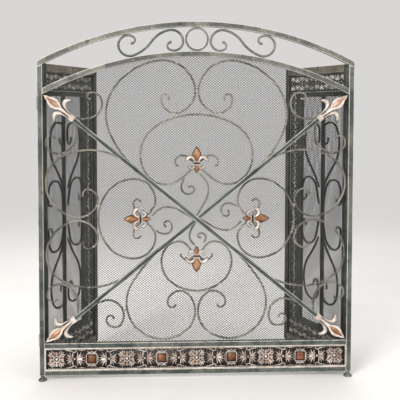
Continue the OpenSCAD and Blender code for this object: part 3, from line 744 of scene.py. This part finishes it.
def corner_fleur(bm, place):
    """A long leaf with a raised heart, between two horns which curl back beside it."""
    line = [(CORNER_FLEUR_L * f, 0) for f in (0, 0.3, 0.62, 1)]
    widths = [
        (0, 3.0), (0.12, 2.4), (0.33, 3.6), (0.52, 11.2), (0.60, 13.6), (0.68, 12.4), (0.86, 5.2),
        (1, 0.5),
    ]
    lined_leaf(bm, line, widths, FLEUR_D - 1.4, place, PETAL, DISH)
    line = [(CORNER_FLEUR_L * f, 0) for f in (0.36, 0.6, 0.92)]
    widths = [(0, 0.8), (0.42, 9.2), (0.54, 9.0), (0.8, 3.6), (1, 0.4)]
    leaf(bm, line, widths, FLEUR_D, place, LEAF, FLEUR_BASE, HEART)
    for s in (-1, 1):
        horn = [
            (0.5, 5.8 * s), (13, 7.5 * s), (25, 10.5 * s), (33, 17 * s), (31, 26.5 * s),
            (21.5, 34 * s),
        ]
        widths = [(0, 1.5), (0.28, 2.0), (0.55, 4.9), (0.68, 5.8), (0.86, 3.6), (1, 0.6)]
        lined_leaf(bm, horn, widths, FLEUR_D - 0.9, place, PETAL)


# For each node: its slot, the direction of its fleurs, where they sit on the drawn field
# and the sides they are mirrored to.
CENTRE_FLEURS = {
    "top_fleur": ("fleur_copper", math.pi / 2, (0, 142), ONE),
    "bottom_fleur": ("fleur_copper", -math.pi / 2, (0, -96), ONE),
    "side_fleurs": ("fleur_cream", math.pi, (-143, 0), BOTH),
}
for name, (slot, angle, (x, z), sides) in CENTRE_FLEURS.items():
    bm = bmesh.new()
    for sign in sides:
        place = fleur_place(angle, x * STRETCH_X, CROSS_Z + z * STRETCH_Z, sign)
        centre_fleur(bm, place)
    piece = new_piece(f"{name}_casting", bm, "front_panel", slot, COPPER, CREAM, RELIEF_GROUND_AND_SHADE)
    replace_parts(piece, name)

# For each node: its slot, the metal of its hearts, and whether it is up or down.
CORNER_FLEURS = {
    "upper_corner_fleurs": ("fleur_cream", ROSE, 1),
    "lower_corner_fleurs": ("fleur_copper", COPPER, -1),
}
for name, (slot, heart, level) in CORNER_FLEURS.items():
    bm = bmesh.new()
    angle = level * BAR_ANGLE
    x, z = polar(CORNER_FLEUR_AT, angle)
    for sign in BOTH:
        corner_fleur(bm, fleur_place(angle, x, CROSS_Z + z, sign))
    piece = new_piece(f"{name}_casting", bm, "front_panel", slot, heart, CREAM, RELIEF_GROUND_AND_SHADE)
    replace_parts(piece, name)

# ---------------------------------------------------------------- relief band

# The ground of the relief is dark; the steep sides of its leaves take the same dark as painted
# shade.
GROUND_AND_SHADE, SILVER, STONE, WARM = 0, 1, 2, 3
BAND_Z = (frieze_low.z + frieze_high.z) / 2
BAND_HALF = (frieze_high.z - frieze_low.z) / 2
BAND_Y = PANEL_Y - TUBE / 2 + 3
BAND_D = 1.5
END_GAP = 1.0
MOTIFS = 8.67  # how many rosettes and gems fill the length of the band
PITCH = 2 * HALF_IN / MOTIFS
RELIEF_STEP = 1.2
GEM_HALF = 9.5
GEM_PEAK = 2.95
GEM_BASE = 0.5
FRAME_HALF = 13.4  # of the rib round a gem
FRAME_ROUND = 3.0
EDGE_BEADS = 77  # on each side of the middle
EDGE_BEAD_PITCH = 4.9
EDGE_BEAD_IN = 3.6
TUFT_CLEAR = 1.5  # of the edges of the band


def band_place(x0, mirror=1):
    return lambda u, v, d: Vector((x0 + mirror * u, BAND_Y - d, BAND_Z + v)) * MM


def square(half_u, half_v):
    return (-half_u, -half_v), (half_u, -half_v), (half_u, half_v), (-half_u, half_v)


def plate(bm, place, half_u, half_v, low, high):
    corners = [bm.verts.new(place(u, v, d)) for d in (low, high) for u, v in square(half_u, half_v)]
    sides = [(k, (k + 1) % 4, (k + 1) % 4 + 4, k + 4) for k in range(4)]
    for face in ((3, 2, 1, 0), (4, 5, 6, 7), *sides):
        bm.faces.new([corners[k] for k in face])


def rib(bm, place, path, width, height, material):
    sweep(bm, path, [width / 2] * len(path), [height] * len(path), place, RIB, 0.0, material)


def relief_leaf(
    bm, place, points, widths, height, material, section=LEAF, step=RELIEF_STEP, skirt=GROUND_AND_SHADE
):
    leaf(bm, points, widths, height, place, section, 0.0, material, step, skirt)


def rosette(bm, place):
    """Eight petals round a ring and a knob, with small points between and tufts in the corners."""
    tuft = [(0, 0.8), (0.5, 2.2), (1, 0.4)]
    for k in range(8):
        t = math.pi / 4 * k
        petal = [(0, 1.4), (0.5, 4.0), (0.8, 4.2), (1, 1.6)]
        relief_leaf(bm, place, [polar(r, t) for r in (7, 12, 18.8)], petal, 2.3, WARM, DISH)
        point = [polar(r, t + math.pi / 8) for r in (13, 17, 21.5)]
        relief_leaf(bm, place, point, [(0, 0.5), (0.6, 1.9), (1, 0.4)], 1.5, SILVER, skirt=None)
        if k % 2:
            u, v = polar(17.5, t)
            for turn, reach in ((-0.88, 11), (0, 9), (0.88, 11)):
                du, dv = polar(reach, t + turn)
                tip = (u + du, v + dv)
                if abs(tip[1]) < BAND_HALF - TUFT_CLEAR:
                    blade = [(u, v), ((u + tip[0]) / 2, (v + tip[1]) / 2), tip]
                    relief_leaf(bm, place, blade, tuft, 1.9, SILVER)
    rib(bm, place, [polar(7.4, math.pi / 20 * k) for k in range(41)], 2.2, 2.7, SILVER)
    bead(bm, 0, 0, 3.7, 2.9, place, SILVER, 14, 4)


def gem(bm, place):
    """A pyramid in a rounded square rib, with beads and leaves round it."""
    base = [bm.verts.new(place(u, v, GEM_BASE)) for u, v in square(GEM_HALF, GEM_HALF)]
    low = [bm.verts.new(place(u, v, 0.0)) for u, v in square(GEM_HALF, GEM_HALF)]
    peak = bm.verts.new(place(0, 0, GEM_PEAK))
    for k in range(4):
        m = (k + 1) % 4
        bm.faces.new((base[k], base[m], peak)).material_index = STONE
        bm.faces.new((low[k], low[m], base[m], base[k])).material_index = STONE
    bm.faces.new(low[::-1]).material_index = STONE
    corner = FRAME_HALF - FRAME_ROUND
    path = []
    for k, (cu, cv) in enumerate(((1, 1), (-1, 1), (-1, -1), (1, -1))):
        for i in range(5):
            du, dv = polar(FRAME_ROUND, math.pi / 2 * (k + i / 4))
            path.append((cu * corner + du, cv * corner + dv))
    rib(bm, place, [*path, path[0]], 2.2, 2.4, SILVER)
    for s in (-1, 1):
        for v in (-7.5, -2.5, 2.5, 7.5):
            bead(bm, 17.2 * s, v, 1.7, 1.8, place, WARM, 8)
        bead(bm, 0, 19 * s, 2.4, 1.8, place, WARM, 8)
        for turn in (-1, 1):
            blade = [(1.5 * turn, 17.5 * s), (7 * turn, 17.0 * s), (12 * turn, 20.5 * s)]
            relief_leaf(bm, place, blade, [(0, 1.2), (0.5, 2.3), (1, 0.4)], 2.0, SILVER)


def fan(bm, place, root, blades):
    """Leaflets from one root; each is an angle in degrees, a length, a bow and a material."""
    for angle, length, bow, material in blades:
        c, s = polar(1, math.radians(angle))
        points = [
            (root + c * f * length - s * bow * side, s * f * length + c * bow * side)
            for f, side in ((0.12, 0), (0.55, 1), (1, 0))
        ]
        widths = [(0, 0.9), (0.5, 2.5), (1, 0.35)]
        relief_leaf(bm, place, points, widths, 2.3, material, step=1.3)


def spray(bm, place):
    """The foliage of one gap, above and below its middle line, with u towards the gem."""
    for s in (-1, 1):
        fan(bm, place, 5, [
            (12 * s, 22, -s, SILVER), (34 * s, 24, -1.5 * s, WARM),
            (55 * s, 23, -2 * s, SILVER), (80 * s, 20, -2 * s, WARM),
        ])
        fan(bm, place, -3, [
            (180 - 16 * s, 19, s, WARM), (180 - 42 * s, 21, 1.5 * s, SILVER),
            (180 - 68 * s, 21, 2 * s, WARM), (180 - 95 * s, 19, 2 * s, SILVER),
        ])
        curl = [(-20, 22.5 * s), (-10, 21.5 * s), (0, 17.5 * s), (6, 20.5 * s), (3, 23.5 * s)]
        widths = [(0, 0.5), (0.5, 1.2), (1, 0.7)]
        relief_leaf(bm, place, curl, widths, 2.5, SILVER, RIB, skirt=None)
        curl = [(27, 22.5 * s), (19, 22.5 * s), (12, 23 * s)]
        widths = [(0, 0.5), (0.5, 1.3), (1, 0.5)]
        relief_leaf(bm, place, curl, widths, 2.5, WARM, RIB, skirt=None)
    bead(bm, 1, 0, 2.6, 2.8, place, SILVER)


bm = bmesh.new()
plate(bm, band_place(0), HALF_IN - END_GAP, BAND_HALF, -BAND_D, 0.0)
for i in range(-4, 5, 2):
    rosette(bm, band_place(i * PITCH))
for i in range(-3, 4, 2):
    gem(bm, band_place(i * PITCH))
for i in range(-4, 4):
    spray(bm, band_place((i + 0.5) * PITCH, 1 if i % 2 == 0 else -1))
for edge in (-1, 1):
    v = edge * (BAND_HALF - EDGE_BEAD_IN)
    for k in range(-EDGE_BEADS, EDGE_BEADS + 1):
        bead(bm, k * EDGE_BEAD_PITCH, v, 1.15, 1.1, band_place(0), SILVER, 6, 2)
relief = new_piece(
    "frieze_relief", bm, "front_panel", "relief_pewter", RELIEF_GROUND_AND_SHADE, RELIEF, GEM, RELIEF_ROSE
)
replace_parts(relief, "frieze_panel")

# ---------------------------------------------------------------- wings

# A wing is measured from its pin: u along it, out through it and z upwards.
WING_ANGLE = math.radians(63)
PIN_Y = PANEL_Y + 12
STILE_U = 8.0
WING_END = STILE_U + 248
WING_BASE = 14.0
WING_TOP = CREST - RISE - 4
RAIL_H = 19.0
STRIP_H = 50.0
STRIP_W = 42.0
FIELD_U0 = STILE_U + TUBE
FIELD_U1 = WING_END - 2 * TUBE - STRIP_W
FIELD_Z0 = WING_BASE + RAIL_H + STRIP_H + TUBE
FIELD_Z1 = WING_TOP - RAIL_H - STRIP_H - TUBE
MID_U = (FIELD_U0 + FIELD_U1) / 2
MID_Z = (FIELD_Z0 + FIELD_Z1) / 2
STRETCH_U = (FIELD_U1 - FIELD_U0) / 2 / 82.5
STRETCH_WING_Z = (FIELD_Z1 - FIELD_Z0) / 2 / 314
WING_SCROLL_OUT = -10.0
STRIP_OUTER = -0.5
STRIP_INNER = -2.0
SHEET_D = 1.4


def wing_point(sign, u, out, z):
    x = -HALF_W + u * math.cos(WING_ANGLE) - out * math.sin(WING_ANGLE)
    y = PIN_Y + u * math.sin(WING_ANGLE) + out * math.cos(WING_ANGLE)
    return Vector((-sign * x, y, z)) * MM


def wing_place(sign, mu, mz):
    """Scrolls of a wing, from the middle of its field."""
    return lambda u, v, d: (
        wing_point(sign, MID_U + mu * u, WING_SCROLL_OUT + d, MID_Z + mz * v)
    )


def strip_place(sign, out, facing=0, upright=False):
    """From (along the strip, across it, height over its face) to the frame."""

    def place(u, v, d):
        if upright:
            u, v = v, u
        return wing_point(sign, u, out + facing * d, v)

    return place


def on_wing(stops):
    return [
        (x * STRETCH_U, z * STRETCH_WING_Z, stretched(h, STRETCH_U, STRETCH_WING_Z))
        for x, z, h in stops
    ]


# One quarter of a wing's scrolls, on the drawn field.
WING_SCROLLS = {
    "teardrops": [
        (-27, 206, -80), (-18, 187, 0), (-8.5, 200, 90), (-8.5, 222, 90), (-33, 245, 180),
        (-67, 190, -90), (-8.5, 68, -66),
    ],
    "hooked_loops": [(-60, 46, -85), (-67, 29, 180), (-75, 60, 90), (-51, 93, 0), (-8.5, 22, -80)],
}

SHEET_ROWS = 3
SLOT_HALF_L = 3.4
SLOT_HALF_W = 1.2
SLOT_TILT = math.radians(38)
SIDE_STEPS = 4  # points along one side of a cell


def slot_edge(angle, tilt):
    """How far an oval slot reaches from its middle in one direction."""
    w = angle - tilt
    return 1 / math.hypot(math.cos(w) / SLOT_HALF_L, math.sin(w) / SLOT_HALF_W)


def strip_sheet(bm, place, area, pitch):
    """A pierced sheet: cells with an oval slot each, tilted this way and that."""
    u0, u1, v0, v1 = area
    columns = round((u1 - u0) / pitch)
    cell_u, cell_v = (u1 - u0) / columns, (v1 - v0) / SHEET_ROWS
    for i in range(columns):
        for j in range(SHEET_ROWS):
            cu, cv = u0 + cell_u * (i + 0.5), v0 + cell_v * (j + 0.5)
            corners = square(cell_u / 2, cell_v / 2)
            tilt = SLOT_TILT if (i + j) % 2 == 0 else -SLOT_TILT
            outer, rim = [], []
            for (ua, va), (ub, vb) in zip(corners, corners[1:] + corners[:1]):
                for k in range(SIDE_STEPS):
                    u, v = ua + (ub - ua) * k / SIDE_STEPS, va + (vb - va) * k / SIDE_STEPS
                    t = math.atan2(v, u)
                    du, dv = polar(slot_edge(t, tilt), t)
                    outer.append(bm.verts.new(place(cu + u, cv + v, 0)))
                    rim.append(bm.verts.new(place(cu + du, cv + dv, 0)))
            for k in range(len(outer)):
                m = (k + 1) % len(outer)
                bm.faces.new((outer[k], outer[m], rim[m], rim[k]))


def strip_lip(bm, place, area):
    u0, u1, v0, v1 = area
    for v in (v0 + 1.0, v1 - 1.0):
        path = [(u0, v), ((u0 + u1) / 2, v), (u1, v)]
        sweep(bm, path, [0.7] * 3, [0.9] * 3, place, RIB)


def palmettes(bm, place, area, pitch):
    """Two rows of small palmettes, turned up and down by turns, with studs between."""
    u0, u1, v0, v1 = area
    columns = round((u1 - u0) / pitch)
    for i in range(columns):
        cu = u0 + (u1 - u0) * (i + 0.5) / columns
        for row in (-1, 1):
            cv = (v0 + v1) / 2 + row * 11.5
            up = row if i % 2 else -row
            root = cv - up * 6
            for angle, length in ((90, 13), (52, 12), (128, 12), (18, 9), (162, 9)):
                du, dv = polar(length, math.radians(angle))
                bow = (cu + 0.6 * du, root + up * (0.6 * dv - 0.8))
                tip = (cu + du, root + up * dv)
                widths = [(0, 0.8), (0.6, 2.0), (1, 0.4)]
                leaf(bm, [(cu, root), bow, tip], widths, 1.5, place, step=1.6)
            bead(bm, u0 + (u1 - u0) * i / columns, cv, 1.7, 1.1, place, 0, 6, 2)
    strip_lip(bm, place, area)


def curls(bm, place, area, pitch):
    """One row of S-curls with studs between."""
    u0, u1, v0, v1 = area
    columns = round((u1 - u0) / pitch)
    cv = (v0 + v1) / 2
    for i in range(columns):
        cu = u0 + (u1 - u0) * (i + 0.5) / columns
        turn = 1 if i % 2 else -1
        curl = [
            (cu - 7.5, cv - 3 * turn), (cu - 5, cv + 3.5 * turn), (cu, cv),
            (cu + 5, cv - 3.5 * turn), (cu + 7.5, cv + 3 * turn),
        ]
        leaf(bm, curl, [(0, 1.2), (0.5, 2.3), (1, 1.2)], 1.6, place, RIB)
        for side in (-1, 1):
            bead(bm, cu + 9, cv + 8 * side, 1.7, 1.0, place, 0, 6, 2)
    strip_lip(bm, place, area)


UPRIGHT_STRIP = (FIELD_Z0 - TUBE, FIELD_Z1 + TUBE, FIELD_U1 + TUBE, WING_END - TUBE)
LEVEL_STRIPS = [
    (FIELD_U0, WING_END - TUBE, z, z + STRIP_H)
    for z in (WING_BASE + RAIL_H, WING_TOP - RAIL_H - STRIP_H)
]

for side, sign in (("left", -1), ("right", 1)):
    body = f"{side}_wing"
    for node_name, stops in WING_SCROLLS.items():
        bm = bmesh.new()
        for mu in BOTH:
            for mz in BOTH:
                place = wing_place(sign, mu, mz)
                round_scroll(bm, on_wing(stops), SCROLL_W, SCROLL_D, place, (True, False))
        piece = new_piece(f"{side}_{node_name}_bar", bm, body, "scroll_paint", WING_SCROLL)
        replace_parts(piece, f"{side}_{node_name}")

    sheet = bmesh.new()
    middle = (STRIP_OUTER + STRIP_INNER) / 2
    for area in LEVEL_STRIPS:
        strip_sheet(sheet, strip_place(sign, middle), area, 11.0)
    strip_sheet(sheet, strip_place(sign, middle, upright=True), UPRIGHT_STRIP, 12.0)
    bmesh.ops.remove_doubles(sheet, verts=sheet.verts, dist=WELD_DISTANCE)
    piece = new_piece(f"{side}_pierced_sheet", sheet, body, "strip_bronze", WING, smooth=False)
    solid = piece.modifiers.new("thickness", "SOLIDIFY")
    solid.thickness = SHEET_D * MM
    solid.offset = 0
    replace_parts(piece, f"{side}_pierced_strips")

    # Both faces of the strips carry the relief.
    relief = bmesh.new()
    for out, facing in ((STRIP_OUTER, 1), (STRIP_INNER, -1)):
        for area in LEVEL_STRIPS:
            palmettes(relief, strip_place(sign, out, facing), area, 20.0)
        curls(relief, strip_place(sign, out, facing, upright=True), UPRIGHT_STRIP, 21.0)
    new_piece(f"{side}_strip_relief", relief, body, "strip_bronze", STRIP_RUBBED_AND_PAINTED_LIGHT)

# ---------------------------------------------------------------- woven wire

WIRE_R = 0.5
WIRE_PITCH = 4.8
WIRE_ANGLE = math.radians(38)
WIRE_BACK = 0.3  # the front mesh sits this much behind the middle of its CAD sheet
LAYER = 0.8  # how far each family of wires lies off the middle, over the radius
FRONT_REACH = 560  # more than half the diagonal of the front mesh
SEARCH_STEPS = 400
HALVINGS = 12
FRONT_FIRST = 0.001  # of two corners as close to the post, the one in front is chosen


def rod(bm, a, b, radius, sides=6):
    """A straight wire from a to b, in metres."""
    way = (b - a).normalized()
    across = way.cross(Vector((0, 1, 0))).normalized()
    up = way.cross(across)
    rings = []
    for end in (a, b):
        ring = []
        for k in range(sides):
            c, s = polar(radius, 2 * math.pi * k / sides)
            ring.append(bm.verts.new(end + c * across + s * up))
        rings.append(ring)
    for k in range(sides):
        m = (k + 1) % sides
        bm.faces.new((rings[0][k], rings[0][m], rings[1][m], rings[1][k]))
    bm.faces.new(rings[0][::-1])
    bm.faces.new(rings[1])


def clip(point, way, inside, reach):
    """The stretch of the line through point, along way, which lies inside a convex outline."""

    def is_in(t):
        return inside(point[0] + t * way[0], point[1] + t * way[1])

    step = reach / SEARCH_STEPS
    found = []
    t = -reach
    while t <= reach:
        if is_in(t):
            found.append(t)
        t += step
    if len(found) < 3:
        return None
    ends = []
    for start, out in ((found[0], found[0] - step), (found[-1], found[-1] + step)):
        for _ in range(HALVINGS):
            half = (start + out) / 2
            if is_in(half):
                start = half
            else:
                out = half
        ends.append(start)
    return ends


def weave(bm, inside, centre, reach, place):
    """Both families of wires over one field; place turns (x, z, layer) into a point."""
    count = int(reach / WIRE_PITCH)
    for family in (-1, 1):
        way = (math.cos(WIRE_ANGLE), family * math.sin(WIRE_ANGLE))
        across = (-way[1], way[0])
        for k in range(-count, count + 1):
            offset = (k + 0.5) * WIRE_PITCH
            point = (centre[0] + offset * across[0], centre[1] + offset * across[1])
            ends = clip(point, way, inside, reach)
            if ends:
                layer = family * WIRE_R * LAYER
                a, b = (place(point[0] + t * way[0], point[1] + t * way[1], layer) for t in ends)
                rod(bm, a, b, WIRE_R * MM)


def in_front_field(x, z):
    under = INNER_Z + math.sqrt(max((ARCH_R - TUBE) ** 2 - x * x, 0))
    return abs(x) < HALF_IN and FIELD_Z < z < under


def front_mesh_place(x, z, layer):
    return Vector((x, (mesh_low.y + mesh_high.y) / 2 + WIRE_BACK + layer, z)) * MM


bm = bmesh.new()
front_middle = (0, (FIELD_Z + mesh_high.z) / 2)
weave(bm, in_front_field, front_middle, FRONT_REACH, front_mesh_place)
wire = new_piece("front_wire_mesh", bm, "front_panel", "mesh_black", MESH)
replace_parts(wire, "front_mesh")

# A wing's mesh is a flat box turned about the vertical; its corners give the frame of the wing.
for side in ("left", "right"):
    corners = [v.co / MM for v in nodes[f"{side}_mesh"].data.vertices]
    near = min(corners, key=lambda p: abs(abs(p.x) - HALF_W) + p.y * FRONT_FIRST)
    far = max(corners, key=lambda p: (p - near).xy.length)
    height = max(p.z for p in corners) - min(p.z for p in corners)
    way = Vector((far.x - near.x, far.y - near.y, 0))
    width = way.length
    way.normalize()
    normal = way.cross(Vector((0, 0, 1)))
    middle = sum(corners, Vector()) / len(corners)
    bm = bmesh.new()
    weave(
        bm,
        lambda x, z: abs(x) < width / 2 and abs(z) < height / 2,
        (0, 0),
        math.hypot(width, height) / 2,
        lambda x, z, layer: (middle + way * x + normal * layer + Vector((0, 0, z))) * MM,
    )
    wire = new_piece(f"{side}_wire_mesh", bm, f"{side}_wing", "mesh_black", MESH)
    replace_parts(wire, f"{side}_mesh")

# ---------------------------------------------------------------- room, light and camera

BACKDROP = (0.93, 0.915, 0.905)
BACKDROP_STRENGTH = 0.74
FLOOR_HALF = 9.0
FLOOR_CLOUDS = (3, 4, 0.5)
FLOOR_SHINE = (20, 4, 0.6)
FADE_FROM = 0.9
FADE_TO = 3.2


def floor_material():
    """A pale floor which fades into the backdrop with the distance from the object."""
    net = Net("pale_floor")
    clouds = net.noise(FLOOR_CLOUDS)
    colour = net.ramp(clouds, (0.3, (0.78, 0.765, 0.75)), (0.7, (0.82, 0.805, 0.79)))
    net.finish(colour, net.ramp(net.noise(FLOOR_SHINE), (0.3, 0.6), (0.7, 0.72)), 0.0)
    far = net.tree.nodes.new("ShaderNodeVectorMath")
    far.operation = "LENGTH"
    net.link(net.coord, far.inputs[0])
    fade = net.tree.nodes.new("ShaderNodeMapRange")
    fade.interpolation_type = "SMOOTHSTEP"
    fade.inputs["From Min"].default_value = FADE_FROM
    fade.inputs["From Max"].default_value = FADE_TO
    net.link(far.outputs["Value"], fade.inputs["Value"])
    glow = net.tree.nodes.new("ShaderNodeEmission")
    glow.inputs["Color"].default_value = (*BACKDROP, 1)
    glow.inputs["Strength"].default_value = BACKDROP_STRENGTH
    blend = net.tree.nodes.new("ShaderNodeMixShader")
    net.link(fade.outputs["Result"], blend.inputs[0])
    net.link(net.bsdf.outputs[0], blend.inputs[1])
    net.link(glow.outputs[0], blend.inputs[2])
    net.link(blend.outputs[0], net.tree.nodes["Material Output"].inputs["Surface"])
    return net.mat


bm = bmesh.new()
bm.faces.new([bm.verts.new((x, y, 0)) for x, y in square(FLOOR_HALF, FLOOR_HALF)])
mesh = bpy.data.meshes.new("floor")
bm.to_mesh(mesh)
bm.free()
mesh.materials.append(floor_material())
floor = bpy.data.objects.new("floor", mesh)
bpy.context.scene.collection.objects.link(floor)

world = bpy.data.worlds.new("studio")
world.use_nodes = True
world.node_tree.nodes["Background"].inputs["Color"].default_value = (*BACKDROP, 1)
world.node_tree.nodes["Background"].inputs["Strength"].default_value = BACKDROP_STRENGTH
bpy.context.scene.world = world


def area_light(name, position, target, size, power, colour=(1, 1, 1)):
    light = bpy.data.lights.new(name, "AREA")
    light.size = size
    light.energy = power
    light.color = colour
    obj = bpy.data.objects.new(name, light)
    obj.location = position
    obj.rotation_euler = (Vector(target) - Vector(position)).to_track_quat("-Z", "Y").to_euler()
    bpy.context.scene.collection.objects.link(obj)


area_light("key", (-1.8, -2.6, 2.4), (0, 0, 0.5), 1.2, 105, (1.0, 0.97, 0.93))
area_light("fill", (2.2, -2.0, 1.4), (0, 0, 0.4), 2.0, 22, (0.94, 0.97, 1.0))
area_light("top", (0.2, 0.6, 2.8), (0, 0, 0.5), 1.8, 30)

CAMERA_X = -0.1004
CAMERA_TO_PANEL = 1.5836
CAMERA_Z = 0.6911
LOOK_DOWN = 2.597
LOOK_RIGHT = 2.090

camera_data = bpy.data.cameras.new("camera")
camera_data.lens = 56.407
camera_data.sensor_width = 36
camera_data.shift_x = 0.05
camera_data.shift_y = -0.155
camera_data.clip_start = 0.02
camera = bpy.data.objects.new("camera", camera_data)
camera.location = (CAMERA_X, PANEL_Y * MM - CAMERA_TO_PANEL, CAMERA_Z)
camera.rotation_euler = (math.radians(90 - LOOK_DOWN), 0, math.radians(-LOOK_RIGHT))
bpy.context.scene.collection.objects.link(camera)
bpy.context.scene.camera = camera

bpy.context.scene.view_settings.view_transform = "Standard"
